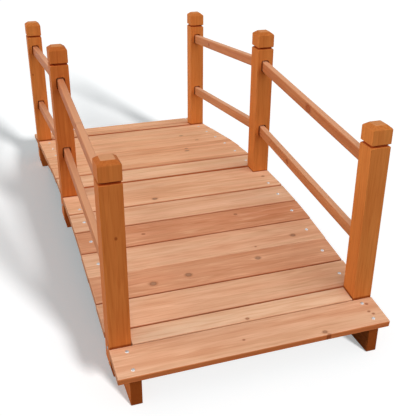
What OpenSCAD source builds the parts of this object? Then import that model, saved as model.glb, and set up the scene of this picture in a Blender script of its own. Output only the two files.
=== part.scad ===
// Low-arched garden footbridge: a board deck on two sawn beams, six lapped posts and straight rails.
// X runs across the deck, Y along the span and Z up. The origin is on the ground under the crown.

/* [Deck] */
// Width of the deck over the ends of the boards
deck_w = 600; // [540:5:700]
// Length of the deck, end to end on plan
deck_l = 1392; // [1260:2:1500]
// Thickness of the boards
board_t = 15; // [12:0.5:20]
// Gap between neighbouring boards
board_gap = 2.5; // [1:0.5:5]
// Width of the two end boards, outside the end posts
end_board_w = 79; // [60:1:95]
// Width of the middle board, which is notched round the middle posts
mid_board_w = 144; // [110:1:180]
// Radius of the eased long edges of the boards
board_ease = 2; // [0.5:0.5:5]
// Radius of the rounded front edge of the two end boards
nose_r = 3.5; // [2:0.5:9]
// Depth of the cross rails that tie the beams between the end posts
cross_h = 52; // [35:1:65]

/* [Beams] */
// Thickness of each beam
beam_t = 24; // [18:1:32]
// Height of the beams' top edge at the crown
crown_h = 138; // [125:1:160]
// Radius of the beams' top edge over the crown
crown_r = 2435; // [2200:5:2800]
// Slope in degrees of the straight runs on both sides of the crown
end_slope = 8.2; // [7:0.1:8.8]
// Length by which the deck runs past the ends of the beams
deck_lip = 3; // [0:0.5:8]
// Length of each flat foot
foot_l = 112; // [90:1:140]
// Height of the arch under the beams
arch_rise = 62; // [45:1:70]

/* [Posts] */
// Side of the square posts
post_w = 45; // [38:1:55]
// Height of a post above the beams' top edge
post_h = 420; // [380:1:480]
// Length of the middle and far posts' lap on the outside of the beam
mid_lap = 77; // [50:1:90]
// Length of the near posts' lap on the outside of the beam
near_lap = 62; // [40:1:75]
// Inset of the splayed foot of each lap
lap_splay = 5; // [1:0.5:10]
// Height of the splayed foot of each lap
lap_splay_h = 25; // [10:1:35]
// Least clearance of the laps above the ground
ground_clear = 1; // [0.5:0.5:5]
// Inset of the chamfer round the post's top
cap_inset = 10; // [4:0.5:15]
// Height of the chamfer round the post's top
cap_rise = 8; // [4:0.5:14]
// Height of the cap between the groove and the chamfer
cap_h = 32; // [20:1:45]
// Width of the groove under the cap
groove_w = 7; // [3:0.5:10]
// Depth of the groove under the cap
groove_d = 5; // [2:0.5:7]
// Clearance between a post and the boards beside it
post_clear = 1; // [0.5:0.25:3]

/* [Rails] */
// Thickness of the rails
rail_w = 18; // [14:0.5:24]
// Height of the rails' section
rail_h = 28; // [20:0.5:36]
// Radius of the rails' rounded edges
rail_r = 4; // [2.5:0.5:6.5]
// Height of the top rails' axis at the posts, above the beams' top edge
top_rail_h = 329; // [280:1:340]
// Height of the low rails' axis at the posts, above the beams' top edge
low_rail_h = 143; // [90:1:200]
// Depth of the mortises
mortise_d = 14; // [8:0.5:16]
// Clearance round a rail in its mortise
mortise_clear = 2.2; // [1.5:0.1:3.5]
// Height of the mortise's middle above the rail's axis, so that the rail lies low in it
mortise_rise = 1.2; // [0:0.1:1.4]

/* [Hidden] */
NEAR_BOARDS = 5;
FAR_BOARDS = 6;
SIDES = ["left", "right"];
ENDS = ["near", "far"];
LEVELS = ["low", "top"];
$fn = 48;
ARC_FN = 720;
BEAM_COLOUR = "#8f4d22";
BOARD_COLOUR = "#d59e7a";
WIDE_BOARD_COLOUR = "#cb9068";
POST_COLOUR = "#b0682f";
RAIL_COLOUR = "#c98a5c";

// Places across the bridge
post_x = deck_w / 2 - post_w / 2;
beam_out = post_x;
beam_in = beam_out - beam_t;

// The beams' top edge: an arc over the crown that runs out into straight slopes
crown_y = crown_r * sin(end_slope);
crown_run = crown_r * end_slope * PI / 180;
slope_z = crown_h - crown_r * (1 - cos(end_slope));
beam_l = deck_l - 2 * deck_lip;
function top_z(y) = slope_z - (abs(y) - crown_y) * tan(end_slope);

// Length along the top edge from the crown to a place on the straight slope, and back again
function run_at(y) = crown_run + (y - crown_y) / cos(end_slope);
function tilt_at(run) = abs(run) < crown_run ? run / crown_r * 180 / PI : sign(run) * end_slope;
function y_at(run) = abs(run) < crown_run
  ? crown_r * sin(tilt_at(run))
  : sign(run) * (crown_y + (abs(run) - crown_run) * cos(end_slope));
function z_at(run) = abs(run) < crown_run
  ? crown_h - crown_r * (1 - cos(tilt_at(run)))
  : top_z(y_at(run));

// A tilted board's top leans out past its foot, and its rounded nose a little less
board_lean = board_t * sin(end_slope);
nose_lean = nose_r * (1 - cos(end_slope)) + (board_t - nose_r) * sin(end_slope);

// Edges of the boards along the top edge, and the end posts just inside the end boards
deck_edge = run_at(deck_l / 2 - nose_lean);
end_edge = deck_edge - end_board_w;
post_pitch = y_at(end_edge) - post_clear - post_w / 2;
last_edge = run_at(post_pitch - post_w / 2 - post_clear - board_lean);
mid_back = post_w / 2 + post_clear - board_gap;
mid_front = mid_back - mid_board_w;
far_first = post_w / 2 + post_clear;
near_step = (last_edge + mid_front) / NEAR_BOARDS;
far_step = (last_edge + board_gap - far_first) / FAR_BOARDS;

// The arch under the beams
arch_half = beam_l / 2 - foot_l;
arch_r = (arch_half ^ 2 + arch_rise ^ 2) / (2 * arch_rise);

// Rails fall from the middle posts to the end posts
end_post_z = top_z(post_pitch);
rail_fall = atan((crown_h - end_post_z) / post_pitch);
rail_from = post_w / 2 - mortise_d;
rail_to = post_pitch / cos(rail_fall) - rail_from;
mortise_cut = mortise_d + rail_h;

function sign_of(side) = side == "left" || side == "near" ? -1 : 1;

// Everything under the beams' top edge, as an outline on Y and Z
module under_top_edge() {
  half_l = beam_l / 2;
  polygon([
    [-half_l, 0], [half_l, 0], [half_l, top_z(half_l)],
    [crown_y, slope_z], [-crown_y, slope_z], [-half_l, top_z(half_l)]
  ]);
  intersection() {
    translate([0, crown_h - crown_r]) circle(r = crown_r, $fn = ARC_FN);
    translate([-crown_y, slope_z - 1]) square([2 * crown_y, crown_h]);
  }
}

// Turns an outline on Y and Z into a solid from one X to another
module across(x_from, x_to) {
  translate([x_from, 0, 0]) rotate([90, 0, 90]) linear_extrude(x_to - x_from) children();
}

// Stands what is modelled flat on the beams' top edge, at a length along it from the crown
module on_top_edge(run) {
  translate([0, y_at(run), z_at(run)]) rotate([-tilt_at(run), 0, 0]) children();
}

// A beam sawn to the crown above and to the arch below, with a flat foot at each end
module beam(side) {
  color(BEAM_COLOUR)
    mirror([sign_of(side) < 0 ? 1 : 0, 0, 0])
      across(beam_in, beam_out)
        difference() {
          under_top_edge();
          translate([0, arch_rise - arch_r]) circle(r = arch_r, $fn = ARC_FN);
        }
}

// Section of a board with its two top edges eased
module board_section(w, front_r, back_r) {
  difference() {
    translate([-w / 2, 0]) square([w, board_t]);
    translate([-w / 2, board_t]) edge_waste(front_r);
    translate([w / 2, board_t]) mirror([1, 0]) edge_waste(back_r);
  }
}

// What rounding takes off the corner of a section, the corner being at the top left
module edge_waste(r) {
  difference() {
    translate([-r, -r]) square([2 * r, 2 * r]);
    translate([r, -r]) circle(r);
    translate([r, -3 * r]) square([r, 4 * r]);
  }
}

// A board lying across both beams between two edges along the top edge
module board(edge_from, edge_to, front_r = board_ease, back_r = board_ease) {
  on_top_edge((edge_from + edge_to) / 2)
    across(-deck_w / 2, deck_w / 2)
      board_section(edge_to - edge_from, front_r, back_r);
}

module near_board(i) {
  first = -last_edge + (i - 1) * near_step;
  color(BOARD_COLOUR) board(first, first + near_step - board_gap);
}

module far_board(i) {
  first = far_first + (i - 1) * far_step;
  color(BOARD_COLOUR) board(first, first + far_step - board_gap);
}

// End board with a rounded nose on its outer edge
module end_board(end) {
  color(BOARD_COLOUR)
    mirror([0, sign_of(end) < 0 ? 1 : 0, 0])
      board(end_edge, deck_edge, board_ease, nose_r);
}

// Wide board at the crown, cut out at its back corners for the middle posts
module mid_board() {
  color(WIDE_BOARD_COLOUR)
    difference() {
      board(mid_front, mid_back);
      for (side = [-1, 1])
        translate([side * post_x, 0, crown_h])
          cube([post_w + 2 * post_clear, post_w + 2 * post_clear, 4 * board_t], center = true);
    }
}

// Rail between the beams, level with the boards, that fills the gap between two end posts
module cross_rail(end) {
  w = end_edge - last_edge - 2 * board_gap;
  color(BOARD_COLOUR)
    mirror([0, sign_of(end) < 0 ? 1 : 0, 0])
      on_top_edge((end_edge + last_edge) / 2)
        translate([-beam_in, -w / 2, board_t - cross_h])
          cube([2 * beam_in, w, cross_h]);
}

// Outline of a post: shaft, groove and chamfered cap, with one side of its foot splayed where asked
module post_outline(z_low, z_high, splay = 0) {
  half = post_w / 2;
  cap_z = z_high - cap_rise - cap_h;
  side = [
    [half, z_low], [half, cap_z - groove_w], [half - groove_d, cap_z - groove_w / 2], [half, cap_z],
    [half, z_high - cap_rise], [half - cap_inset, z_high]
  ];
  other_side = [for (i = [len(side) - 1:-1:1]) [-side[i][0], side[i][1]]];
  foot = splay > 0 ? [[-half, z_low + lap_splay_h], [splay - half, z_low]] : [[-half, z_low]];
  polygon(concat(side, other_side, foot));
}

// Square post whose inner half is cut away to sit on the beam and lap its outer face
module post(place, side) {
  y = place == "mid" ? 0 : sign_of(place) * post_pitch;
  seat_z = place == "mid" ? crown_h : end_post_z;
  z_low = max(ground_clear, seat_z - (place == "near" ? near_lap : mid_lap));
  color(POST_COLOUR)
    mirror([sign_of(side) < 0 ? 1 : 0, 0, 0])
      difference() {
        translate([post_x, y, 0])
          intersection() {
            across(-post_w / 2, post_w / 2) post_outline(z_low, seat_z + post_h);
            rotate([0, 0, 90])
              across(-post_w / 2, post_w / 2) post_outline(z_low, seat_z + post_h, lap_splay);
          }
        across(beam_in - post_w, beam_out) under_top_edge();
        for (level = LEVELS)
          if (place == "mid")
            for (end = ENDS) rail_space(end, level, rail_from, rail_from + mortise_cut);
          else
            rail_space(place, level, rail_to - mortise_cut, rail_to);
      }
}

// Section of a rail, a bar with rounded edges
module rail_section(grow = 0) {
  r = rail_r + grow;
  for (x = [-1, 1])
    for (z = [-1, 1])
      translate([x * (rail_w / 2 - rail_r), z * (rail_h / 2 - rail_r)]) circle(r);
  square([rail_w - 2 * rail_r, rail_h + 2 * grow], center = true);
  square([rail_w + 2 * grow, rail_h - 2 * rail_r], center = true);
}

// Runs a section along a rail's axis, between two distances from the middle post's centre
module along_rail(end, level, from, to) {
  axis_h = level == "top" ? top_rail_h : low_rail_h;
  mirror([0, sign_of(end) < 0 ? 1 : 0, 0])
    translate([post_x, 0, crown_h + axis_h])
      rotate([-90 - rail_fall, 0, 0])
        translate([0, 0, from])
          linear_extrude(to - from) children();
}

// Room for the end of a rail in a post, rounded and larger than the rail, above it most of all
module rail_space(end, level, from, to) {
  along_rail(end, level, from, to) translate([0, -mortise_rise]) rail_section(mortise_clear);
}

module rail(end, side, level) {
  color(RAIL_COLOUR)
    mirror([sign_of(side) < 0 ? 1 : 0, 0, 0])
      along_rail(end, level, rail_from, rail_to) rail_section();
}

for (side = SIDES)
  beam(side);
for (end = ENDS) {
  end_board(end);
  cross_rail(end);
}
mid_board();
for (i = [1:NEAR_BOARDS])
  near_board(i);
for (i = [1:FAR_BOARDS])
  far_board(i);
for (place = ["near", "mid", "far"])
  for (side = SIDES)
    post(place, side);
for (end = ENDS)
  for (side = SIDES)
    for (level = LEVELS)
      rail(end, side, level);
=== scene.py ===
import math
import random

import bmesh
import bpy
from bpy.props import FloatProperty, FloatVectorProperty, IntProperty, PointerProperty
from bpy.types import Operator, Panel, PropertyGroup
from mathutils import Matrix, Vector
from mathutils.bvhtree import BVHTree


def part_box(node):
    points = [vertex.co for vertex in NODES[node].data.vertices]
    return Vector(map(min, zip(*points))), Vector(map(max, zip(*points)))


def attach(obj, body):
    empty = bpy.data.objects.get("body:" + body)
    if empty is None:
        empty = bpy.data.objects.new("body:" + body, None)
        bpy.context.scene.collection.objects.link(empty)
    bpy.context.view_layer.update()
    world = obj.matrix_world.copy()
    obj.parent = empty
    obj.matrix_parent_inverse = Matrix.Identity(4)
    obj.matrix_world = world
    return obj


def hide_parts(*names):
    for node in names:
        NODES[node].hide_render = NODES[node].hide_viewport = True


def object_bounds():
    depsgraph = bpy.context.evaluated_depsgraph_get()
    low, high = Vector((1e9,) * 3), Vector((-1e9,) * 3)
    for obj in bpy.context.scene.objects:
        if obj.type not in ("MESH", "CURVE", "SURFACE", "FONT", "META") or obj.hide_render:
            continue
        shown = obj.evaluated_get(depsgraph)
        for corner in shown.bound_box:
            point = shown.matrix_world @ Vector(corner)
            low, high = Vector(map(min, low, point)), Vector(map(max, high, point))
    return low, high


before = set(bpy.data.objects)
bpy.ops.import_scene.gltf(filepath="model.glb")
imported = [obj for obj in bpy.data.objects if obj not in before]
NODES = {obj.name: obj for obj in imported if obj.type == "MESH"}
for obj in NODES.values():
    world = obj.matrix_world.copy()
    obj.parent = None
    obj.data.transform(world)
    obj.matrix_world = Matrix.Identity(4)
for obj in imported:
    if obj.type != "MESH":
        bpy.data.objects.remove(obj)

bl_info = {
    "name": "Arched Garden Footbridge",
    "version": (1, 0, 0),
    "blender": (4, 5, 0),
    "location": "View3D > Sidebar > Footbridge",
    "description": "Dresses the frame of a small arched footbridge in stained softwood",
    "category": "Object",
}

CAD_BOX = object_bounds()
BEAMS = [name for name in NODES if name.endswith("_beam")]
POSTS = [name for name in NODES if name.endswith("_post")]
RAILS = [name for name in NODES if name.endswith(("_low_rail", "_top_rail"))]
CROSS_RAILS = [name for name in NODES if name.endswith("_cross_rail")]
MID_BOARD = "mid_board"
BOARDS = [name for name in NODES if "_board" in name and name != MID_BOARD]

# Directions of length, width and thickness
UPRIGHT = (Vector((0, 0, 1)), Vector((1, 0, 0)), Vector((0, 1, 0)))
LENGTHWAYS = (Vector((0, 1, 0)), Vector((0, 0, 1)), Vector((1, 0, 0)))
CROSSWAYS = (Vector((1, 0, 0)), Vector((0, 1, 0)), Vector((0, 0, 1)))

# Pieces of the deck from the near end to the far end
DECK = sorted([*BOARDS, *CROSS_RAILS, MID_BOARD], key=lambda name: sum(corner[1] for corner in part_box(name)))

# How far the stain of a piece has ripened past the others, at its left, near or lower end and at the other.
# The lighter settings of the far deck pieces are partly painted light: they make up for the key light falling
# weaker on boards that slope away from it
RIPENESS_AND_PAINTED_LIGHT = {
    "near_end_board": (0.24, 0.24), "near_cross_rail": (-0.6, -0.6), "near_board_1": (0.12, 0.12),
    "near_board_2": (0.9, 0.8), "near_board_3": (0.25, 0.35), "near_board_4": (0.95, 1.3),
    "near_board_5": (0.0, -0.05), "mid_board": (-0.25, -0.1), "far_board_1": (-0.45, -0.45),
    "far_board_2": (-0.05, 0.05), "far_board_3": (0.1, 0.1), "far_board_4": (-0.15, -0.15),
    "far_board_5": (-0.15, -0.15), "far_board_6": (-0.15, -0.15), "far_cross_rail": (-0.1, -0.1),
    "far_end_board": (-0.1, -0.1),
    "near_left_post": (0.32, 0.32), "mid_left_post": (0.5, 0.45), "far_left_post": (-0.3, -0.3),
    "near_right_post": (-0.15, -0.6), "mid_right_post": (-0.05, -0.05), "far_right_post": (-0.45, -0.45),
    "near_left_top_rail": (0.1, 0.9), "near_left_low_rail": (0.1, 0.9), "near_right_top_rail": (0.5, 0.4),
    "far_left_top_rail": (0.4, 0.9), "far_left_low_rail": (0.4, 0.9),
    "far_right_top_rail": (0.1, 0.15), "far_right_low_rail": (-0.2, -0.2)}

# Least and most that the stain of any other piece has ripened
OTHERS_RIPE = (0.0, 0.16)

# Pieces of the deck sawn from a warmer log with broader streaks, by share
WARMER_LOG = {name: 1.0 for name in DECK if name.startswith("far_")} | {"mid_board": 0.6, "far_board_1": 0.4}

# How wide and how deep the painted shade of the gap lies beside the joint behind each piece, in metres and as
# a share
SHADED_JOINTS = {
    "near_end_board": (0.0020, 0.25), "near_cross_rail": (0.0032, 0.65), "near_board_1": (0.0032, 0.6),
    "near_board_3": (0.0030, 0.42), "near_board_4": (0.0032, 0.5), "near_board_5": (0.0030, 0.5),
    "mid_board": (0.0085, 1.0), "far_board_1": (0.0080, 0.6), "far_board_4": (0.0010, 0.1),
    "far_board_6": (0.0120, 1.0), "far_cross_rail": (0.0040, 0.6)}
UNSHADED_JOINT = (0.0010, 0.0)

# What a piece of the deck is wider than its node at its near and far edges, in metres, where it meets its
# neighbour tightly or stands out over the beams' ends
WIDER_EDGES = {
    "near_board_2": (0.0, 0.0010), "near_board_3": (0.0010, 0.0), "near_cross_rail": (0.0006, 0.0),
    "near_end_board": (0.0030, 0.0), "far_end_board": (0.0, 0.0030)}

# What a board's left and right ends stand short of the line, in metres, or past it where less than nothing
SHORTER_ENDS = {"near_end_board": (-0.003, 0.0)}

# Both ends or both edges left where the node has them
AS_SAWN = (0.0, 0.0)

# A piece with no bow to the side or up, the range of where along a board its bow turns, in radians, and how
# fast the bow up turns beside the one to the side
STRAIGHT = (0.0, 0.0, 0.0)
BOW_TURNS = (0, 6)
LIFT_PACE = 0.7

# Spans along a straight piece between its rounded ends, and steps round each of those
SPANS = 12
END_STEPS = 3

# Shortest arris that is eased on each kind of piece, in metres
BEAM_EASED = 0.006
CROSS_RAIL_EASED = 0.02
NOTCHED_EASED = 0.012
POST_EASED = 0.018

# From the top of a post down past its chamfers and down past its groove, and from its foot up past its lap
CROWN = 0.012
CAP_REACH = 0.055
LAP_REACH = 0.095

# Posts whose sanded top has a painted highlight, by share, and posts whose cap sits lower, in metres
HIGHLIT_TOPS = {"near_left_post": 0.45}
LOWER_CAPS = {"near_left_post": 0.0034}

# From a post to where the deck's height beside it is taken, and the breadth of a hand that drives a screw
DECK_STEP = 0.004
HAND = 0.08

# Angles between two faces: below the first they are one flat, past the second they meet at an arris, and past
# the others their edge looks sharp, on timber and on steel
FLAT_ANGLE = math.radians(0.5)
ARRIS_ANGLE = math.radians(25)
SHARP_TIMBER = math.radians(40)
SHARP_STEEL = math.radians(35)

# How far along its log a piece was sawn, where the pith lies across it, as a share, and how far off it
LOG_PLACE = (0, 40)
PITH_ACROSS = (-0.8, 0.8)
PITH_OFF = (0.025, 0.07)

# Slope of the steepest pith to the piece, and how far the rings wander, in metres
PITH_SLOPE = 0.14
RING_WANDER = 0.022

# Waves a metre along, across and through a piece in each mark of the grain, and along X, Y and Z in the steel
WANDER_WAVES = (1.4, 6, 6)
STREAK_WAVES = (3.0, 66, 60)
BLUSH_WAVES = (1.6, 34, 34)
FLECK_WAVES = (13.0, 190, 170)
THREAD_WAVES = (14.0, 280, 260)
CLOUD_WAVES = (5.0, 11, 11)
BROAD_WAVES = (2.4, 60, 30)
FIBRE_WAVES = (12, 500, 500)
RAGGED_WAVES = (210, 210, 210)
MOTTLE_WAVES = (900, 900, 900)
TURNING_WAVES = (4000, 4000, 300)

# What is left of a colour on riper wood, on the warmer log, in its broad streaks and in marks of the grain
RIPER_WOOD = (0.84, 0.66, 0.58)
WARMER_WOOD = (1.12, 1.06, 0.99)
BROAD_STREAK = (0.84, 0.72, 0.64)
LATE_WOOD = (0.80, 0.66, 0.56)
STAIN_CLOUD = (0.86, 0.76, 0.68)
FIBRE = (0.80, 0.68, 0.60)
BLUSH = (1.0, 0.92, 0.90)
THREAD = (0.84, 0.70, 0.62)

# What is left of a colour on grey, red and small knots, in the ring round one and on thirsty end grain
GREY_KNOT = (0.45, 0.42, 0.42)
RED_KNOT = (0.74, 0.46, 0.36)
SMALL_KNOT = (0.52, 0.31, 0.24)
KNOT_RING = (0.60, 0.46, 0.40)
THIRSTY_END = (0.58, 0.42, 0.36)

# What is left of a colour on the edge of a deck board, and under the painted shade of the gap beside a joint
BOARD_EDGE = (0.84, 0.45, 0.24)
JOINT_GAP_SHADE = (0.56, 0.28, 0.18)

# What is left of a colour under the painted shade on a post's chamfers, in its groove and mortises, and round
# its foot on the deck
CHAMFER_SHADE = (0.82, 0.78, 0.75)
GROOVE_SHADE = (0.64, 0.33, 0.27)
MORTISE_SHADE = (1.0, 0.50, 0.36)
FOOT_SHADE = (0.52, 0.30, 0.24)

# Light and dark grey of the bright screws in the deck and of the darker ones in the laps
BRIGHT_GREYS = (0.60, 0.44)
LAP_GREYS = (0.26, 0.16)

# Length of shank under a screw's head
SHANK = 0.003

# How far the floor reaches and lies below the bridge's feet, and the camera sensor's width in millimetres
FLOOR_REACH = 30.0
FLOOR_DROP = 0.0002
SENSOR_WIDTH = 36.0

# Knots by piece, each as metres along and across it from its middle, and a radius
KNOTS_A_PIECE = 6
KNOTS = {
    "near_board_2": ((-0.163, -0.012, 0.0066), (-0.077, -0.003, 0.0062), (0.103, 0.013, 0.0055)),
    "near_board_3": ((0.224, -0.013, 0.005), (0.114, -0.033, 0.002)),
    "near_board_4": ((-0.139, -0.002, 0.0032), (0.115, 0.022, 0.0035)),
    "mid_board": ((-0.065, -0.051, 0.0055), (0.271, -0.006, 0.0035)),
    "far_board_3": ((0.127, -0.034, 0.0055), (0.132, -0.010, 0.004)),
    "far_board_4": ((0.198, -0.012, 0.004),),
    "far_board_5": ((0.167, -0.021, 0.005),),
    "near_end_board": (
        (0.147, -0.032, 0.0042), (-0.028, -0.007, 0.0022), (0.278, 0.022, 0.0030),
        (0.271, -0.001, 0.0026), (0.277, -0.010, 0.0026), (0.153, -0.0415, 0.0036)),
    "near_cross_rail": ((0.001, -0.016, 0.0032),),
    "near_left_post": ((0.083, 0.004, 0.0025),),
    "far_left_post": ((0.081, -0.017, 0.002),),
    "near_left_top_rail": ((0.013, 0.011, 0.005),),
    "near_right_low_rail": ((0.087, 0.0, 0.005),),
    "near_right_top_rail": ((-0.008, 0.0, 0.0095),),
    "far_right_top_rail": ((0.127, 0.0, 0.005),),
}

# Stands in the place of each knot that a piece doesn't have, well off it
NO_KNOT = (9.0, 9.0, 0.004)


class FootbridgeTimber(PropertyGroup):
    """Sizes of the sawn and eased timber."""

    arris: FloatProperty(
        name="Arris", description="Width of the eased arris on posts, beams and the notched board",
        default=0.0016, min=0.0004, max=0.004, unit="LENGTH")
    cap_arris: FloatProperty(
        name="Cap arris", description="Width of the rounding on the chamfered caps",
        default=0.0014, min=0.0004, max=0.004, unit="LENGTH")
    end_arris: FloatProperty(
        name="End arris", description="Width of the eased arris round a sawn end",
        default=0.0012, min=0.0004, max=0.003, unit="LENGTH")
    end_scatter: FloatProperty(
        name="End scatter", description="Most that a board end stands off the line, either way",
        default=0.0014, min=0.0, max=0.004, unit="LENGTH")
    board_bow: FloatProperty(
        name="Board bow", description="Most that a board bows up or sideways over its length",
        default=0.0005, min=0.0, max=0.001, unit="LENGTH")
    rail_planed: FloatProperty(
        name="Rail planing", description="What is planed off a rail's thickness to slip into its mortises",
        default=0.0016, min=0.0, max=0.003, unit="LENGTH")
    seed: IntProperty(
        name="Seed", description="Starting number for the scatter of grain and ends", default=11, min=0)


class FootbridgeStain(PropertyGroup):
    """Colours of the stained softwood and the scale of its grain."""

    deck_pale: FloatVectorProperty(
        name="Deck, early wood", description="Stained colour of the soft early wood on the deck",
        subtype="COLOR", size=3, default=(0.84, 0.52, 0.333))
    deck_ripe: FloatVectorProperty(
        name="Deck, ripe wood", description="Stained colour of the riper streaks on the deck",
        subtype="COLOR", size=3, default=(0.75, 0.422, 0.25))
    post_pale: FloatVectorProperty(
        name="Posts, early wood", description="Stained colour of the soft early wood on the posts",
        subtype="COLOR", size=3, default=(0.655, 0.214, 0.049))
    post_ripe: FloatVectorProperty(
        name="Posts, ripe wood", description="Stained colour of the riper streaks on the posts",
        subtype="COLOR", size=3, default=(0.612, 0.193, 0.042))
    cap_top: FloatVectorProperty(
        name="Cap tops", description="Stained colour of the sanded end grain on top of the posts",
        subtype="COLOR", size=3, default=(0.62, 0.265, 0.105))
    rail_pale: FloatVectorProperty(
        name="Rails, early wood", description="Stained colour of the soft early wood on the rails",
        subtype="COLOR", size=3, default=(0.597, 0.246, 0.098))
    rail_ripe: FloatVectorProperty(
        name="Rails, ripe wood", description="Stained colour of the riper streaks on the rails",
        subtype="COLOR", size=3, default=(0.512, 0.187, 0.065))
    beam_pale: FloatVectorProperty(
        name="Beams, early wood", description="Stained colour of the soft early wood on the beams",
        subtype="COLOR", size=3, default=(0.52, 0.15, 0.03))
    beam_ripe: FloatVectorProperty(
        name="Beams, ripe wood", description="Stained colour of the riper streaks on the beams",
        subtype="COLOR", size=3, default=(0.42, 0.11, 0.02))
    # Painted highlight: the rails' upper side is painted paler, as sheen
    rail_top_highlight: FloatVectorProperty(
        name="Rail tops", description="Colour of the rails' bleached upper side",
        subtype="COLOR", size=3, default=(0.74, 0.38, 0.215))
    # Painted highlight on a cap's sanded top
    cap_highlight: FloatVectorProperty(
        name="Bleached cap tops", description="Colour of a sanded top that the sun has bleached",
        subtype="COLOR", size=3, default=(0.69, 0.375, 0.22))
    # The caps' chamfers are painted darker as shade, so that although they face up they come out no lighter
    # than the sides
    cap_rise: FloatProperty(
        name="Cap rise", description="Height of the caps' chamfers, which drink more stain",
        default=0.008, min=0.004, max=0.014, unit="LENGTH")
    ring_pitch: FloatProperty(
        name="Ring pitch", description="Thickness of one year's growth",
        default=0.0065, min=0.002, max=0.02, unit="LENGTH")
    deck_index: FloatProperty(
        name="Deck index", description="Refraction index of the deck's flat stain",
        default=1.04, min=1.0, max=2.0)
    post_index: FloatProperty(
        name="Post index", description="Refraction index of the stain on the posts",
        default=1.12, min=1.0, max=2.0)
    beam_index: FloatProperty(
        name="Beam index", description="Refraction index of the flat stain on the beams",
        default=1.08, min=1.0, max=2.0)
    rail_index: FloatProperty(
        name="Rail index", description="Refraction index of the smoother stain on the rails",
        default=1.22, min=1.0, max=2.0)


class FootbridgeScrews(PropertyGroup):
    """Sizes of the screws in the deck and in the posts' laps."""

    head_d: FloatProperty(
        name="Head diameter", description="Diameter of a screw head",
        default=0.0082, min=0.004, max=0.014, unit="LENGTH")
    dome_h: FloatProperty(
        name="Dome height", description="Height of a screw head above the board",
        default=0.0013, min=0.0002, max=0.004, unit="LENGTH")
    recess_w: FloatProperty(
        name="Recess width", description="Width of one arm of the cross recess",
        default=0.0013, min=0.0004, max=0.003, unit="LENGTH")
    recess_l: FloatProperty(
        name="Recess length", description="Length of the cross recess from tip to tip",
        default=0.0048, min=0.001, max=0.01, unit="LENGTH")
    edge_inset: FloatProperty(
        name="Edge inset", description="From the deck's edge to the line of screws",
        default=0.032, min=0.02, max=0.045, unit="LENGTH")
    end_spread: FloatProperty(
        name="End spread", description="From an end board's middle to each of its two screws",
        default=0.025, min=0.01, max=0.032, unit="LENGTH")
    lap_low: FloatProperty(
        name="Lap, lower", description="From the foot of a post's lap to its lower screw",
        default=0.0175, min=0.008, max=0.03, unit="LENGTH")
    lap_spread: FloatProperty(
        name="Lap spread", description="Between the two screws of a post's lap",
        default=0.042, min=0.02, max=0.05, unit="LENGTH")
    mid_offset: FloatProperty(
        name="Middle offset", description="From the notched board's middle to its screw",
        default=0.052, min=0.03, max=0.06, unit="LENGTH")


class FootbridgeStage(PropertyGroup):
    """Floor, light and camera."""

    floor_colour: FloatVectorProperty(
        name="Floor", description="Colour of the floor as the camera sees it",
        subtype="COLOR", size=3, default=(0.85, 0.85, 0.85))
    floor_lift: FloatVectorProperty(
        name="Floor lift", description="Light that the floor shows the camera in its shadows",
        subtype="COLOR", size=3, default=(0.300, 0.319, 0.325))
    floor_bounce: FloatVectorProperty(
        name="Floor bounce", description="Colour of the floor as the timber sees it",
        subtype="COLOR", size=3, default=(0.14, 0.14, 0.14))
    ambient: FloatVectorProperty(
        name="Ambient", description="Colour of the even light from all round",
        subtype="COLOR", size=3, default=(0.26, 0.26, 0.26))
    key_strength: FloatProperty(
        name="Key", description="Strength of the soft light from above the near right",
        default=2.11, min=0.0)
    key_heading: FloatVectorProperty(
        name="Key heading", description="Way that the key light shines",
        subtype="DIRECTION", size=3, default=(-0.36, 0.63, -0.67))
    key_softness: FloatProperty(
        name="Key softness", description="Angle of sky that the key light fills",
        subtype="ANGLE", default=math.radians(88))
    fill_strength: FloatProperty(
        name="Fill", description="Strength of the soft light from the left side",
        default=1.75, min=0.0)
    fill_heading: FloatVectorProperty(
        name="Fill heading", description="Way that the fill light shines",
        subtype="DIRECTION", size=3, default=(0.90, -0.12, -0.42))
    fill_softness: FloatProperty(
        name="Fill softness", description="Angle of sky that the fill light fills",
        subtype="ANGLE", default=math.radians(30))
    floor_strength: FloatProperty(
        name="Floor light", description="Strength of the light that gives the floor its shadow",
        default=4.7, min=0.0)
    floor_heading: FloatVectorProperty(
        name="Floor light heading", description="Way that the floor's light shines",
        subtype="DIRECTION", size=3, default=(-0.32, 1.0, -0.45))
    floor_softness: FloatProperty(
        name="Floor light softness", description="Angle of sky that the floor's light fills",
        subtype="ANGLE", default=math.radians(10))
    lens: FloatProperty(
        name="Lens", description="Focal length on a 36 mm sensor", default=59.45, min=10.0, unit="CAMERA")
    eye: FloatVectorProperty(
        name="Eye", description="Place of the camera", subtype="XYZ", unit="LENGTH", size=3,
        default=(-0.4816, -1.7220, 0.9657))
    turn: FloatProperty(
        name="Turn", description="Turn of the camera to the right of straight ahead",
        default=0.3378, subtype="ANGLE")
    dip: FloatProperty(
        name="Dip", description="Dip of the camera below level", default=0.4673, subtype="ANGLE")
    roll: FloatProperty(
        name="Roll", description="Roll of the camera", default=0.0095, subtype="ANGLE")


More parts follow.
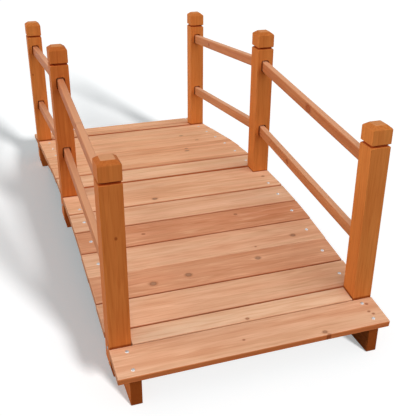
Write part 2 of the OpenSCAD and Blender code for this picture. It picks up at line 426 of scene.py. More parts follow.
class Value:
    """A socket of a node tree whose operators add Math nodes."""

    def __init__(self, graph, socket):
        self.graph = graph
        self.socket = socket

    def math(self, operation, *others):
        feeds = dict(enumerate((self, *others)))
        return self.graph.node("ShaderNodeMath", {"operation": operation}, feeds)

    def __add__(self, other):
        return self.math("ADD", other)

    __radd__ = __add__

    def __mul__(self, other):
        return self.math("MULTIPLY", other)

    __rmul__ = __mul__

    def __sub__(self, other):
        return self.math("SUBTRACT", other)

    def __rsub__(self, other):
        return self.graph.node("ShaderNodeMath", {"operation": "SUBTRACT"}, {0: other, 1: self})

    def __truediv__(self, other):
        return self.math("DIVIDE", other)

    def __rtruediv__(self, other):
        return self.graph.node("ShaderNodeMath", {"operation": "DIVIDE"}, {0: other, 1: self})

    def __abs__(self):
        return self.math("ABSOLUTE")

    def root(self):
        return self.math("SQRT")

    def part(self):
        """What is left over past the whole number."""
        return self.math("FRACT")

    def least(self, other):
        return self.math("MINIMUM", other)

    def most(self, other):
        return self.math("MAXIMUM", other)

    def ease(self, low, high):
        """Rises smoothly from 0 at low to 1 at high."""
        return self.graph.node(
            "ShaderNodeMapRange", {"interpolation_type": "SMOOTHSTEP", "clamp": True},
            {"Value": self, "From Min": low, "From Max": high})


class Graph:
    """The node tree of one material or of the world."""

    def __init__(self, tree):
        self.tree = tree
        tree.nodes.clear()

    def node(self, kind, settings=(), feeds=(), out=0):
        """Adds a node, sets it up, feeds its sockets and gives one of its outputs, if it has any."""
        made = self.tree.nodes.new(kind)
        for name, value in dict(settings).items():
            setattr(made, name, value)
        for key, value in dict(feeds).items():
            if isinstance(value, Value):
                self.tree.links.new(value.socket, made.inputs[key])
            else:
                made.inputs[key].default_value = value
        return Value(self, made.outputs[out]) if made.outputs else None

    def split(self, vector):
        """The three numbers of a vector."""
        first = self.node("ShaderNodeSeparateXYZ", {}, {"Vector": vector})
        return [Value(self, socket) for socket in first.socket.node.outputs]

    def kept(self, name, out="Vector"):
        """A value that the mesh carries."""
        return self.node("ShaderNodeAttribute", {"attribute_name": name}, {}, out)

    def noise(self, place, waves, detail=2.0, offset=0.0):
        """Soft noise at a place, with so many waves a metre each way."""
        x, y, z = (part * wave for part, wave in zip(place, waves))
        vector = self.node("ShaderNodeCombineXYZ", {}, {"X": x + offset if offset else x, "Y": y, "Z": z})
        return self.node("ShaderNodeTexNoise", {}, {"Vector": vector, "Scale": 1.0, "Detail": detail})

    def mix(self, share, below, above, blend="MIX", within=True):
        """One colour over another, by a share that is kept within 0 and 1 or not."""
        settings = {"data_type": "RGBA", "blend_type": blend, "clamp_factor": within}
        return self.node("ShaderNodeMix", settings, {0: share, 6: below, 7: above}, 2)

    def glaze(self, share, below, coat, within=True):
        """A colour seen through a coat of another, by a share."""
        return self.mix(share, below, (*coat, 1.0), "MULTIPLY", within)


def paint(rgb, strength=1.0):
    """A colour with its alpha, lighter or darker by a factor."""
    return (*(min(1.0, channel * strength) for channel in rgb), 1.0)


def glazed(rgb, coat):
    """A colour seen through a coat of another."""
    return tuple(channel * share for channel, share in zip(rgb, coat))


def knot_marks(graph, along, across):
    """Hearts of knots, how red they are, the rings round them, and the place across with the grain parted."""
    heart = red = halo = None
    parted = across
    ragged = 0.75 + graph.noise((along, across, 0.0), RAGGED_WAVES) * 0.5
    for number in range(1, KNOTS_A_PIECE + 1):
        knot_along, knot_across, radius = graph.split(graph.kept(f"knot_{number}"))
        off_along = (along - knot_along) * 0.76 / radius
        off_across = (across - knot_across) / radius
        reach = (off_along * off_along + off_across * off_across).root() * ragged
        this_heart = 1 - reach.ease(0.75, 1.05)
        this_halo = reach.ease(0.45, 0.85) * (1 - reach.ease(0.95, 1.7))
        this_red = this_heart * (1 - radius.ease(0.0028, 0.0048))
        heart = this_heart if heart is None else heart.most(this_heart)
        red = this_red if red is None else red.most(this_red)
        halo = this_halo if halo is None else halo.most(this_halo)
        parted = parted - (across - knot_across) / (reach * reach + 0.5)
    return heart, red, halo, parted


def late_wood(graph, grain, along, shift, pith):
    """Late wood of growth rings round a pith outside the piece, which wander along its length."""
    pitch = bpy.context.scene.footbridge_stain.ring_pitch
    wander = graph.noise(grain, WANDER_WAVES) - 0.5
    ring_y = grain[1] + pith[0]
    ring_z = grain[2] + pith[1] + along * (shift.part() - 0.5) * PITH_SLOPE
    rings = ((ring_y * ring_y + ring_z * ring_z).root() + wander * RING_WANDER) / pitch
    year = rings.part()
    return year.ease(0.30, 0.88) * (1 - year.ease(0.88, 1.0))


def edge_tone_and_joint_shade(graph, colour, across, gap_across):
    """Darkens the edges of a deck piece, and paints the shade of the gaps beside the joints before and behind
    it.
    """
    joint = graph.node("ShaderNodeMix", {"data_type": "VECTOR"}, {
        0: across.ease(-0.001, 0.001), 4: graph.kept("front_joint"), 5: graph.kept("back_joint")}, 1)
    gap_shade_width, gap_shade_depth, bare_edge = graph.split(joint)
    # The edges darken on an end piece's open face, and in a joint as deep as the painted shade of its gap
    edge = 1 - gap_across.ease(0.0004, 0.0016)
    colour = graph.glaze(edge * gap_shade_depth.most(bare_edge), colour, BOARD_EDGE)
    # Painted shade of the gap beside a joint, as wide and as deep as the joint's setting
    gap_shade = 1 - (gap_across / gap_shade_width).ease(0.3, 1.0)
    return graph.glaze(gap_shade * gap_shade_depth, colour, JOINT_GAP_SHADE)


def post_cuts(graph, colour, under_top, over_foot, depth):
    """Paints shade on a post's chamfers, in its groove and mortises, and round its foot where it meets the
    deck.
    """
    rise = bpy.context.scene.footbridge_stain.cap_rise
    chamfer = 1 - under_top.ease(rise - 0.0006, rise + 0.0004)
    cut = depth.ease(0.0010, 0.0022) * (1 - chamfer) * over_foot.ease(LAP_REACH - 0.010, LAP_REACH)
    groove = cut * (1 - under_top.ease(CAP_REACH - 0.004, CAP_REACH))
    # Painted contact shade along the line where the post meets the deck
    shaded_foot = 1 - abs(graph.kept("over_deck", "Fac")).ease(0.0006, 0.0045)
    colour = graph.glaze(chamfer, colour, CHAMFER_SHADE)
    colour = graph.glaze(groove, colour, GROOVE_SHADE)
    colour = graph.glaze(cut - groove, colour, MORTISE_SHADE)
    return graph.glaze(shaded_foot * 0.85, colour, FOOT_SHADE)


def stained_softwood(
        name, pale, ripe, knot, end, index, fineness=1.0, rings_show=0.2, capped=False, top=None):
    """Stained softwood with grain along each piece, knots, sawn ends and worn arrises.

    A capped piece has painted shade on its chamfers, cuts and foot, and a painted highlight on its sanded top
    where one is set. A top colour paints a highlight, as sheen, along a piece's upper side.
    """
    material = bpy.data.materials.new(name)
    material.use_nodes = True
    graph = Graph(material.node_tree)
    along, across, through = graph.split(graph.kept("local"))
    half_along, half_across, half_through = graph.split(graph.kept("half"))
    shift, *pith = graph.split(graph.kept("lot"))
    ripened = graph.kept("ripened", "Fac")
    warmer = graph.kept("warmer", "Fac")
    heart, red, halo, parted = knot_marks(graph, along, across)

    # Growth rings, broad streaks, clouds of stain and fine fibres
    grain = (along + shift, parted, through)
    fine_grain = (grain[0], parted * fineness, through * fineness)
    late = late_wood(graph, grain, along, shift, pith)
    streak = graph.noise(fine_grain, STREAK_WAVES, 4.0)
    blush = graph.noise(fine_grain, BLUSH_WAVES, offset=7)
    fleck = graph.noise(fine_grain, FLECK_WAVES, 1.0)
    thread = graph.noise(fine_grain, THREAD_WAVES, 1.0, offset=3)
    cloud = graph.noise((grain[0], across, through), CLOUD_WAVES)
    broad = graph.noise(grain, BROAD_WAVES, 3.0)
    fibre = graph.noise(grain, FIBRE_WAVES)

    colour = graph.mix(streak.ease(0.32, 0.70), paint(pale), paint(ripe))
    colour = graph.glaze(ripened, colour, RIPER_WOOD, within=False)
    colour = graph.glaze(warmer, colour, WARMER_WOOD)
    colour = graph.glaze(warmer * broad.ease(0.46, 0.66) * 0.7, colour, BROAD_STREAK)
    colour = graph.glaze(late * rings_show, colour, LATE_WOOD)
    colour = graph.glaze(cloud.ease(0.40, 0.75) * 0.35, colour, STAIN_CLOUD)
    colour = graph.glaze(fibre.ease(0.50, 0.80) * 0.35, colour, FIBRE)
    colour = graph.glaze(blush.ease(0.35, 0.65) * 0.8, colour, BLUSH)
    colour = graph.glaze(thread.ease(0.50, 0.68) * 0.45, colour, THREAD)
    colour = graph.mix(fleck.ease(0.55, 0.78) * 0.32, colour, paint(pale, 1.16))
    knot_colour = graph.mix(red, paint(knot), paint(glazed(ripe, SMALL_KNOT)))
    colour = graph.mix(heart * 0.8, colour, knot_colour)
    colour = graph.glaze(halo * 0.5, colour, KNOT_RING)

    # Distance from the nearest arris, the middle one of the three distances from the faces
    gap_along = half_along - abs(along)
    gap_across = half_across - abs(across)
    gap_through = half_through - abs(through)
    nearer = gap_across.least(gap_through)
    farther = gap_across.most(gap_through)
    rim = nearer.most(farther.least(gap_along))
    worn = (1 - rim.ease(0.0004, 0.0042)) * cloud.ease(0.25, 0.65)
    colour = graph.mix(worn * 0.3, colour, paint(pale, 1.12))

    colour = edge_tone_and_joint_shade(graph, colour, across, gap_across)
    # Painted highlight, as sheen, along the upper side of a piece
    if top:
        upper = 1 - (half_across - across).ease(0.0006, 0.0026)
        highlit = upper * (0.45 + streak * 0.5) * (1 - ripened.ease(0.5, 1.1))
        colour = graph.mix(highlit, colour, paint(top))
    if capped:
        colour = post_cuts(graph, colour, half_along - along, half_along + along, nearer)
    sawn = 1 - gap_along.ease(0.0004, 0.0016)
    colour = graph.mix(sawn * 0.75, colour, paint(end))
    if capped:
        # Painted highlight on a post's sanded top
        highlit_top = paint(bpy.context.scene.footbridge_stain.cap_highlight)
        colour = graph.mix(sawn * graph.kept("highlit", "Fac"), colour, highlit_top)

    rough = 0.5 + fibre * 0.16 - late * 0.07 + sawn * 0.2 + heart * 0.1
    relief = fibre * 0.55 + late * 0.35 - heart * 0.3
    normal = graph.node("ShaderNodeBump", {}, {"Strength": 0.35, "Distance": 0.0007, "Height": relief})
    surface = graph.node("ShaderNodeBsdfPrincipled", {}, {
        "Base Color": colour, "Roughness": rough, "Normal": normal, "IOR": index})
    graph.node("ShaderNodeOutputMaterial", {}, {"Surface": surface})
    return material


def screw_steel(name, light, dark):
    """Zinc-plated steel with fine turning marks, mottled between a light and a dark grey."""
    material = bpy.data.materials.new(name)
    material.use_nodes = True
    graph = Graph(material.node_tree)
    place = graph.split(graph.node("ShaderNodeTexCoord", {}, {}, "Object"))
    mottle = graph.noise(place, MOTTLE_WAVES)
    turned = graph.noise(place, TURNING_WAVES)
    colour = graph.mix(mottle.ease(0.35, 0.75), paint((light,) * 3), paint((dark,) * 3))
    normal = graph.node("ShaderNodeBump", {}, {"Strength": 0.2, "Distance": 0.0002, "Height": turned})
    surface = graph.node("ShaderNodeBsdfPrincipled", {}, {
        "Base Color": colour, "Metallic": 1.0, "Roughness": 0.34 + mottle * 0.2, "Normal": normal})
    graph.node("ShaderNodeOutputMaterial", {}, {"Surface": surface})
    return material


def finish_of(make, name, *colours, **ways):
    """The material of that name, made once."""
    return bpy.data.materials.get(name) or make(name, *colours, **ways)


def deck_stain():
    stain = bpy.context.scene.footbridge_stain
    return finish_of(
        stained_softwood, "deck_stain", stain.deck_pale, stain.deck_ripe, glazed(stain.deck_ripe, GREY_KNOT),
        glazed(stain.deck_ripe, THIRSTY_END), stain.deck_index)


def beam_stain():
    stain = bpy.context.scene.footbridge_stain
    return finish_of(
        stained_softwood, "beam_stain", stain.beam_pale, stain.beam_ripe, glazed(stain.beam_ripe, RED_KNOT),
        glazed(stain.beam_ripe, THIRSTY_END), stain.beam_index)


def post_stain():
    stain = bpy.context.scene.footbridge_stain
    return finish_of(
        stained_softwood, "post_stain", stain.post_pale, stain.post_ripe, glazed(stain.post_ripe, RED_KNOT),
        stain.cap_top, stain.post_index, rings_show=0.28, capped=True)


def rail_stain():
    stain = bpy.context.scene.footbridge_stain
    return finish_of(
        stained_softwood, "rail_stain", stain.rail_pale, stain.rail_ripe, glazed(stain.rail_ripe, RED_KNOT),
        glazed(stain.rail_ripe, THIRSTY_END), stain.rail_index, fineness=1.9, top=stain.rail_top_highlight)


def timber_axes(mesh):
    """Length, width and thickness directions of a sawn piece, from its two broadest sets of faces."""
    spread = {}
    for face in mesh.polygons:
        normal = face.normal * (1 if max(face.normal, key=abs) > 0 else -1)
        key = tuple(round(part, 1) for part in normal)
        spread[key] = spread.get(key, Vector()) + normal * face.area
    ranked = sorted(spread.values(), key=lambda total: -total.length)
    thickness = ranked[0].normalized()
    edge = next(total for total in ranked if abs(total.normalized().dot(thickness)) < 0.1)
    length = thickness.cross(edge).normalized()
    length *= 1 if max(length, key=abs) > 0 else -1
    width = thickness.cross(length)
    width *= 1 if max(width, key=abs) > 0 else -1
    return length, width, length.cross(width)


def placed(axes, middle):
    """The matrix from a piece's own length, width and thickness to the frame."""
    turn = Matrix(axes).transposed().to_4x4()
    return Matrix.Translation(middle) @ turn


def own_frame(mesh, axes):
    """Where a piece's middle is, and half its sizes along its own axes."""
    spans = [[vertex.co.dot(axis) for vertex in mesh.vertices] for axis in axes]
    middle = sum((axis * (min(span) + max(span)) / 2 for axis, span in zip(axes, spans)), Vector())
    return middle, [(max(span) - min(span)) / 2 for span in spans]


def keep(mesh, name, kind, values):
    """Stores one value a vertex on the mesh."""
    layer = mesh.attributes.new(name, kind, "POINT")
    if kind == "FLOAT":
        layer.data.foreach_set("value", values)
    else:
        layer.data.foreach_set("vector", [part for value in values for part in value])


def keep_grain(mesh, node, axes):
    """Stores on the mesh what its material asks for: its own directions, log, stain, joints and knots."""
    chance = random.Random(f"{bpy.context.scene.footbridge_timber.seed} {node}")
    middle, half = own_frame(mesh, axes)
    back = placed(axes, middle).inverted()
    places = [back @ vertex.co for vertex in mesh.vertices]
    count = len(places)
    lot = (chance.uniform(*LOG_PLACE), chance.uniform(*PITH_ACROSS) * half[1], chance.uniform(*PITH_OFF))
    keep(mesh, "local", "FLOAT_VECTOR", places)
    keep(mesh, "half", "FLOAT_VECTOR", [half] * count)
    keep(mesh, "lot", "FLOAT_VECTOR", [lot] * count)
    plain = chance.uniform(*OTHERS_RIPE)
    first, last = RIPENESS_AND_PAINTED_LIGHT.get(node, (plain, plain))
    shares = [0.5 + place.x / (2 * half[0]) for place in places]
    keep(mesh, "ripened", "FLOAT", [first + (last - first) * share for share in shares])
    keep(mesh, "warmer", "FLOAT", [WARMER_LOG.get(node, 0.0)] * count)
    order = DECK.index(node) if node in DECK else -1
    front = SHADED_JOINTS.get(DECK[order - 1], UNSHADED_JOINT) if order > 0 else UNSHADED_JOINT
    behind = SHADED_JOINTS.get(node, UNSHADED_JOINT)
    keep(mesh, "front_joint", "FLOAT_VECTOR", [(*front, float(order == 0))] * count)
    keep(mesh, "back_joint", "FLOAT_VECTOR", [(*behind, float(order == len(DECK) - 1))] * count)
    knots = list(KNOTS.get(node, ()))
    knots += [NO_KNOT] * (KNOTS_A_PIECE - len(knots))
    for number, knot in enumerate(knots, 1):
        keep(mesh, f"knot_{number}", "FLOAT_VECTOR", [knot] * count)


def dress(mesh, node, axes, material):
    """Gives a piece its grain, knots and finish, and puts it in its node's place."""
    keep_grain(mesh, node, axes)
    mesh.materials.append(material)
    mesh.polygons.foreach_set("use_smooth", [True] * len(mesh.polygons))
    mesh.set_sharp_from_angle(angle=SHARP_TIMBER)
    piece = bpy.data.objects.new(f"{node}_timber", mesh)
    bpy.context.scene.collection.objects.link(piece)
    even = piece.modifiers.new("even_faces", "WEIGHTED_NORMAL")
    even.keep_sharp = True
    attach(piece, "root")
    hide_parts(node)


def ease_arrises(shape, edges, width):
    """Rounds off the given edges of a mesh."""
    bmesh.ops.bevel(
        shape, geom=edges, offset=width, offset_type="OFFSET", segments=3, profile=0.5, affect="EDGES",
        clamp_overlap=True)


def eased_copy(node, shortest, crown=0.0):
    """A new mesh of a node's shape with its longer arrises eased, and all edges of its crown."""
    timber = bpy.context.scene.footbridge_timber
    shape = bmesh.new()
    shape.from_mesh(NODES[node].data)
    bmesh.ops.remove_doubles(shape, verts=shape.verts, dist=1e-6)
    bmesh.ops.dissolve_limit(shape, angle_limit=FLAT_ANGLE, verts=shape.verts, edges=shape.edges)
    crown_z = max(vert.co.z for vert in shape.verts) - crown
    sharp = [
        edge for edge in shape.edges
        if edge.is_manifold and edge.calc_face_angle() > ARRIS_ANGLE and edge.calc_length() > shortest]
    if not sharp:
        raise RuntimeError(f"{node} has no arris to ease")
    if crown:
        upper = [edge for edge in shape.edges if min(vert.co.z for vert in edge.verts) > crown_z]
        ease_arrises(shape, upper, timber.cap_arris)
        sharp = [edge for edge in sharp if edge.is_valid]
    ease_arrises(shape, sharp, timber.arris)
    mesh = bpy.data.meshes.new(f"{node}_timber")
    shape.to_mesh(mesh)
    shape.free()
    return mesh


def end_outline(mesh, axes, middle):
    """Outline of a straight piece's sawn end, as width and thickness, in order round it."""
    back = placed(axes, middle).inverted()
    rim = {tuple(round(part, 5) for part in (back @ vertex.co)[1:]) for vertex in mesh.vertices}
    return sorted(rim, key=lambda point: math.atan2(point[1], point[0]))


def end_stations(low, high):
    """Places along a straight piece, each with how far its outline is drawn in to round the ends."""
    arris = bpy.context.scene.footbridge_timber.end_arris
    rounding = [math.radians(90 * step / END_STEPS) for step in range(END_STEPS + 1)]
    stations = [(low + arris * (1 - math.cos(turn)), arris * (1 - math.sin(turn))) for turn in rounding]
    inner_low, inner_high = low + arris, high - arris
    stations += [(inner_low + (inner_high - inner_low) * step / SPANS, 0.0) for step in range(1, SPANS)]
    return stations + [(low + high - place, inset) for place, inset in stations[END_STEPS::-1]]


def sawn_length(node, axes, short, bow, planed=0.0):
    """A new mesh of a straight piece, sawn short at both ends, bowed, eased and planed thinner."""
    near_wider, far_wider = WIDER_EDGES.get(node, AS_SAWN)
    source = NODES[node].data
    middle, half = own_frame(source, axes)
    outline = end_outline(source, axes, middle)
    place = placed(axes, middle)
    shape = bmesh.new()
    loops = []
    for run, inset in end_stations(-half[0] + short[0], half[0] - short[1]):
        swing = math.pi * run / half[0]
        side, lift = bow[0] * math.sin(swing + bow[2]), bow[1] * math.cos(swing * LIFT_PACE + bow[2])
        loops.append([
            shape.verts.new(place @ Vector((
                run, y * (1 - inset / half[1]) + side + (far_wider if y > 0 else -near_wider),
                z * (1 - (inset + planed / 2) / half[2]) + lift)))
            for y, z in outline])
    for one, two in zip(loops, loops[1:]):
        for step in range(len(outline)):
            after = (step + 1) % len(outline)
            shape.faces.new((one[step], one[after], two[after], two[step]))
    shape.faces.new(loops[0][::-1])
    shape.faces.new(loops[-1])
    bmesh.ops.recalc_face_normals(shape, faces=shape.faces)
    mesh = bpy.data.meshes.new(f"{node}_timber")
    shape.to_mesh(mesh)
    shape.free()
    return mesh


class FOOTBRIDGE_OT_beams(Operator):
    """Cut the two arched side beams"""

    bl_idname = "footbridge.beams"
    bl_label = "Cut Side Beams"

    def execute(self, context):
        for node in BEAMS:
            dress(eased_copy(node, BEAM_EASED), node, LENGTHWAYS, beam_stain())
        return {"FINISHED"}


class FOOTBRIDGE_OT_cross_rails(Operator):
    """Set the narrow cross rails between the end posts"""

    bl_idname = "footbridge.cross_rails"
    bl_label = "Set Cross Rails"

    def execute(self, context):
        for node in CROSS_RAILS:
            length, *others = timber_axes(NODES[node].data)
            width = min(others, key=lambda axis: abs(axis.z))
            width *= 1 if width.y > 0 else -1
            axes = (length, width, length.cross(width))
            mesh = eased_copy(node, CROSS_RAIL_EASED)
            middle = own_frame(mesh, axes)[0]
            near_wider, far_wider = WIDER_EDGES.get(node, AS_SAWN)
            for vertex in mesh.vertices:
                vertex.co += width * (far_wider if (vertex.co - middle).dot(width) > 0 else -near_wider)
            dress(mesh, node, axes, deck_stain())
        return {"FINISHED"}


class FOOTBRIDGE_OT_boards(Operator):
    """Lay the deck boards, each sawn a little differently"""

    bl_idname = "footbridge.boards"
    bl_label = "Lay Deck Boards"

    def execute(self, context):
        timber = context.scene.footbridge_timber
        for node in BOARDS:
            chance = random.Random(f"{timber.seed} ends {node}")
            shorter = SHORTER_ENDS.get(node, AS_SAWN)
            short = [amount + chance.uniform(-1, 1) * timber.end_scatter for amount in shorter]
            bow = [chance.uniform(-1, 1) * timber.board_bow for way in range(2)]
            bow.append(chance.uniform(*BOW_TURNS))
            axes = timber_axes(NODES[node].data)
            dress(sawn_length(node, axes, short, bow), node, axes, deck_stain())
        dress(eased_copy(MID_BOARD, NOTCHED_EASED), MID_BOARD, CROSSWAYS, deck_stain())
        return {"FINISHED"}


def first_face(mesh, start, heading):
    """The point where a line first meets a mesh, and which way the face looks, or nothing."""
    tree = BVHTree.FromPolygons(
        [vertex.co for vertex in mesh.vertices], [face.vertices for face in mesh.polygons])
    return tree.ray_cast(start, heading)[:2]


def deck_level(x, y):
    """Height of the deck's upper side at a place, taken from the pieces that lie there."""
    start, down = Vector((x, y, CAD_BOX[1][2] + HAND)), Vector((0, 0, -1))
    spots = [first_face(NODES[node].data, start, down)[0] for node in DECK]
    levels = [spot.z for spot in spots if spot]
    if not levels:
        raise RuntimeError(f"no deck at {x:.3f}, {y:.3f}")
    return max(levels)


class FOOTBRIDGE_OT_posts(Operator):
    """Shape the posts with their grooves and caps"""

    bl_idname = "footbridge.posts"
    bl_label = "Shape Posts"

    def execute(self, context):
        for node in POSTS:
            low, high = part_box(node)
            middle = (low[0] + high[0]) / 2
            near, far = (deck_level(middle, y) for y in (low[1] - DECK_STEP, high[1] + DECK_STEP))
            mesh = eased_copy(node, POST_EASED, CROWN)
            for vertex in mesh.vertices:
                if vertex.co.z > high[2] - CAP_REACH:
                    vertex.co.z -= LOWER_CAPS.get(node, 0.0)
            # Share of painted highlight on the post's top, and its height over the deck for the painted shade
            # round its foot
            keep(mesh, "highlit", "FLOAT", [HIGHLIT_TOPS.get(node, 0.0)] * len(mesh.vertices))
            shares = [(vertex.co.y - low[1]) / (high[1] - low[1]) for vertex in mesh.vertices]
            keep(mesh, "over_deck", "FLOAT", [
                vertex.co.z - near - (far - near) * share for vertex, share in zip(mesh.vertices, shares)])
            dress(mesh, node, UPRIGHT, post_stain())
        return {"FINISHED"}


class FOOTBRIDGE_OT_rails(Operator):
    """Fit the rounded rails into the posts"""

    bl_idname = "footbridge.rails"
    bl_label = "Fit Rails"

    def execute(self, context):
        planed = context.scene.footbridge_timber.rail_planed
        for node in RAILS:
            axes = timber_axes(NODES[node].data)
            dress(sawn_length(node, axes, AS_SAWN, STRAIGHT, planed), node, axes, rail_stain())
        return {"FINISHED"}


def screw_head(shape, place, screws, turn):
    """Adds one domed head with a cross recess to a mesh."""
    spokes, fullness = 32, 2.6
    radius, arm, reach = screws.head_d / 2, screws.recess_w / 2, screws.recess_l / 2
    recess = screws.dome_h * 0.75
    loops = []
    for share in [step / 10 for step in range(1, 10)] + [0.97, 1.0]:
        loop = []
        for spoke in range(spokes):
            angle = 2 * math.pi * spoke / spokes
            x, y = share * radius * math.cos(angle), share * radius * math.sin(angle)
            z = screws.dome_h * math.sqrt(max(0.0, 1 - share ** fullness))
            if min(abs(x), abs(y)) < arm and max(abs(x), abs(y)) < reach:
                z -= recess
            point = Matrix.Rotation(turn, 3, "Z") @ Vector((x, y, z))
            loop.append(shape.verts.new(place @ point))
        loops.append(loop)
    back, down = place.inverted(), Vector((0, 0, -SHANK))
    loops.append([shape.verts.new(place @ (back @ vert.co + down)) for vert in loops[-1]])
    for one, two in zip(loops, loops[1:]):
        for step in range(spokes):
            after = (step + 1) % spokes
            shape.faces.new((one[step], two[step], two[after], one[after]))
    shape.faces.new(loops[0])
    shape.faces.new(loops[-1][::-1])


def face_met(mesh, start, heading):
    """Where a line from a point first meets a mesh, as a matrix with Z out of the face."""
    spot, normal = first_face(mesh, start, heading)
    if spot is None:
        raise RuntimeError(f"no face of {mesh.name} to drive a screw into")
    return Matrix.Translation(spot) @ normal.to_track_quat("Z", "Y").to_matrix().to_4x4()


class FOOTBRIDGE_OT_screws(Operator):
    """Drive the screws of the deck and of the posts' laps"""

    bl_idname = "footbridge.screws"
    bl_label = "Drive Screws"

    def execute(self, context):
        screws = context.scene.footbridge_screws
        chance = random.Random(context.scene.footbridge_timber.seed)
        deck = bmesh.new()
        for node in [*BOARDS, MID_BOARD]:
            source = NODES[node].data
            axes = CROSSWAYS if node == MID_BOARD else timber_axes(source)
            middle, half = own_frame(source, axes)
            rows = (-screws.end_spread, screws.end_spread) if "end_board" in node else (0.0,)
            if node == MID_BOARD:
                rows = (-screws.mid_offset,)
            for side in (-1, 1):
                for row in rows:
                    over = Vector((side * (half[0] - screws.edge_inset), row, HAND))
                    place = face_met(source, placed(axes, middle) @ over, -axes[2])
                    screw_head(deck, place, screws, chance.uniform(0, math.pi))
        self.finish(context, deck, "deck_screws", BRIGHT_GREYS)
        laps = bmesh.new()
        for node in POSTS:
            low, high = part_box(node)
            side = 1 if low[0] > 0 else -1
            for height in (screws.lap_low, screws.lap_low + screws.lap_spread):
                out = max(abs(low[0]), abs(high[0])) + HAND
                beside = Vector((side * out, (low[1] + high[1]) / 2, low[2] + height))
                place = face_met(NODES[node].data, beside, Vector((-side, 0, 0)))
                screw_head(laps, place, screws, chance.uniform(0, math.pi))
        self.finish(context, laps, "lap_screws", LAP_GREYS)
        return {"FINISHED"}

    def finish(self, context, shape, name, greys):
        """Makes one piece of a set of heads and gives it its steel, from a light to a dark grey."""
        bmesh.ops.recalc_face_normals(shape, faces=shape.faces)
        mesh = bpy.data.meshes.new(name)
        shape.to_mesh(mesh)
        shape.free()
        mesh.materials.append(finish_of(screw_steel, f"{name}_steel", *greys))
        mesh.polygons.foreach_set("use_smooth", [True] * len(mesh.polygons))
        mesh.set_sharp_from_angle(angle=SHARP_STEEL)
        piece = bpy.data.objects.new(name, mesh)
        context.scene.collection.objects.link(piece)
        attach(piece, "root")


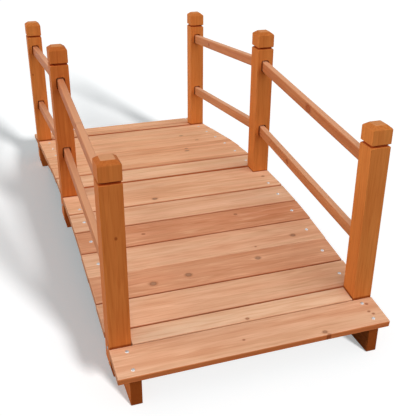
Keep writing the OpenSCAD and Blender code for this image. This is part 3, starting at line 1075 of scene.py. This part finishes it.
class FOOTBRIDGE_OT_stage(Operator):
    """Set up the pale floor, the soft light and the camera"""

    bl_idname = "footbridge.stage"
    bl_label = "Set Up Stage"

    def execute(self, context):
        stage = context.scene.footbridge_stage
        context.scene.view_settings.view_transform = "Standard"
        floor = self.floor(context, stage)
        self.sky(context, stage)
        key = stage.key_strength, stage.key_heading, stage.key_softness
        fill = stage.fill_strength, stage.fill_heading, stage.fill_softness
        shadow = stage.floor_strength, stage.floor_heading, stage.floor_softness
        self.lamp(context, "key_light", key, floor, "EXCLUDE")
        self.lamp(context, "left_fill", fill, floor, "EXCLUDE")
        self.lamp(context, "floor_light", shadow, floor, "INCLUDE")
        self.camera(context, stage)
        return {"FINISHED"}

    def seen(self, graph):
        """1 where a ray comes from the camera or from a mirror or glass, 0 for light that bounces."""
        rays = graph.node("ShaderNodeLightPath").socket.node.outputs
        camera, glossy, clear = (
            Value(graph, rays[name]) for name in ("Is Camera Ray", "Is Glossy Ray", "Is Transmission Ray"))
        return camera.most(glossy).most(clear)

    def floor(self, context, stage):
        mesh = bpy.data.meshes.new("floor")
        corners = [(-1, -1), (1, -1), (1, 1), (-1, 1)]
        mesh.from_pydata(
            [(x * FLOOR_REACH, y * FLOOR_REACH, -FLOOR_DROP) for x, y in corners], [], [(0, 1, 2, 3)])
        material = bpy.data.materials.new("pale_floor")
        material.use_nodes = True
        graph = Graph(material.node_tree)
        colour = graph.mix(self.seen(graph), paint(stage.floor_bounce), paint(stage.floor_colour))
        lift = graph.mix(self.seen(graph), (0.0, 0.0, 0.0, 1.0), paint(stage.floor_lift))
        surface = graph.node("ShaderNodeBsdfPrincipled", {}, {
            "Base Color": colour, "Roughness": 1.0, "Specular IOR Level": 0.0,
            "Emission Color": lift, "Emission Strength": 1.0})
        graph.node("ShaderNodeOutputMaterial", {}, {"Surface": surface})
        mesh.materials.append(material)
        floor = bpy.data.objects.new("floor", mesh)
        context.scene.collection.objects.link(floor)
        return floor

    def sky(self, context, stage):
        world = bpy.data.worlds.new("white_studio")
        world.use_nodes = True
        context.scene.world = world
        graph = Graph(world.node_tree)
        colour = graph.mix(self.seen(graph), paint(stage.ambient), (1.0, 1.0, 1.0, 1.0))
        light = graph.node("ShaderNodeBackground", {}, {"Color": colour, "Strength": 1.0})
        graph.node("ShaderNodeOutputWorld", {}, {"Surface": light})

    def lamp(self, context, name, light, floor, floor_state):
        """Adds a soft lamp that lights all but the floor, or the floor alone."""
        strength, heading, softness = light
        data = bpy.data.lights.new(name, "SUN")
        data.energy = strength
        data.angle = softness
        lamp = bpy.data.objects.new(name, data)
        lamp.rotation_euler = Vector(heading).to_track_quat("-Z", "Y").to_euler()
        context.scene.collection.objects.link(lamp)
        reach = bpy.data.collections.new(f"{name}_reach")
        reach.objects.link(floor)
        reach.collection_objects[0].light_linking.link_state = floor_state
        lamp.light_linking.receiver_collection = reach

    def camera(self, context, stage):
        data = bpy.data.cameras.new("camera")
        data.sensor_width = SENSOR_WIDTH
        data.lens = stage.lens
        camera = bpy.data.objects.new("camera", data)
        context.scene.collection.objects.link(camera)
        aim = (
            Matrix.Rotation(-stage.turn, 4, "Z") @ Matrix.Rotation(math.pi / 2 - stage.dip, 4, "X")
            @ Matrix.Rotation(stage.roll, 4, "Z"))
        camera.matrix_world = Matrix.Translation(Vector(stage.eye)) @ aim
        context.scene.camera = camera


class FOOTBRIDGE_PT_panel(Panel):
    """Lists the steps that dress the footbridge"""

    bl_idname = "FOOTBRIDGE_PT_panel"
    bl_label = "Footbridge"
    bl_space_type = "VIEW_3D"
    bl_region_type = "UI"
    bl_category = "Footbridge"

    def draw(self, context):
        for step in STEPS:
            self.layout.operator(step.bl_idname)
        for title in SETTINGS:
            box = self.layout.box()
            group = getattr(context.scene, title)
            for name in group.bl_rna.properties.keys():
                if name not in {"rna_type", "name"}:
                    box.prop(group, name)


STEPS = (
    FOOTBRIDGE_OT_beams,
    FOOTBRIDGE_OT_cross_rails,
    FOOTBRIDGE_OT_boards,
    FOOTBRIDGE_OT_posts,
    FOOTBRIDGE_OT_rails,
    FOOTBRIDGE_OT_screws,
    FOOTBRIDGE_OT_stage,
)
SETTINGS = {
    "footbridge_timber": FootbridgeTimber,
    "footbridge_stain": FootbridgeStain,
    "footbridge_screws": FootbridgeScrews,
    "footbridge_stage": FootbridgeStage,
}
CLASSES = (*SETTINGS.values(), *STEPS, FOOTBRIDGE_PT_panel)


def register():
    for made in CLASSES:
        bpy.utils.register_class(made)
    for name, group in SETTINGS.items():
        setattr(bpy.types.Scene, name, PointerProperty(type=group))


def unregister():
    for name in SETTINGS:
        delattr(bpy.types.Scene, name)
    for made in reversed(CLASSES):
        bpy.utils.unregister_class(made)


def main():
    register()
    bpy.ops.footbridge.beams()
    bpy.ops.footbridge.cross_rails()
    bpy.ops.footbridge.boards()
    bpy.ops.footbridge.posts()
    bpy.ops.footbridge.rails()
    bpy.ops.footbridge.screws()
    bpy.ops.footbridge.stage()
    bpy.context.view_layer.update()


if __name__ == "__main__":
    main()
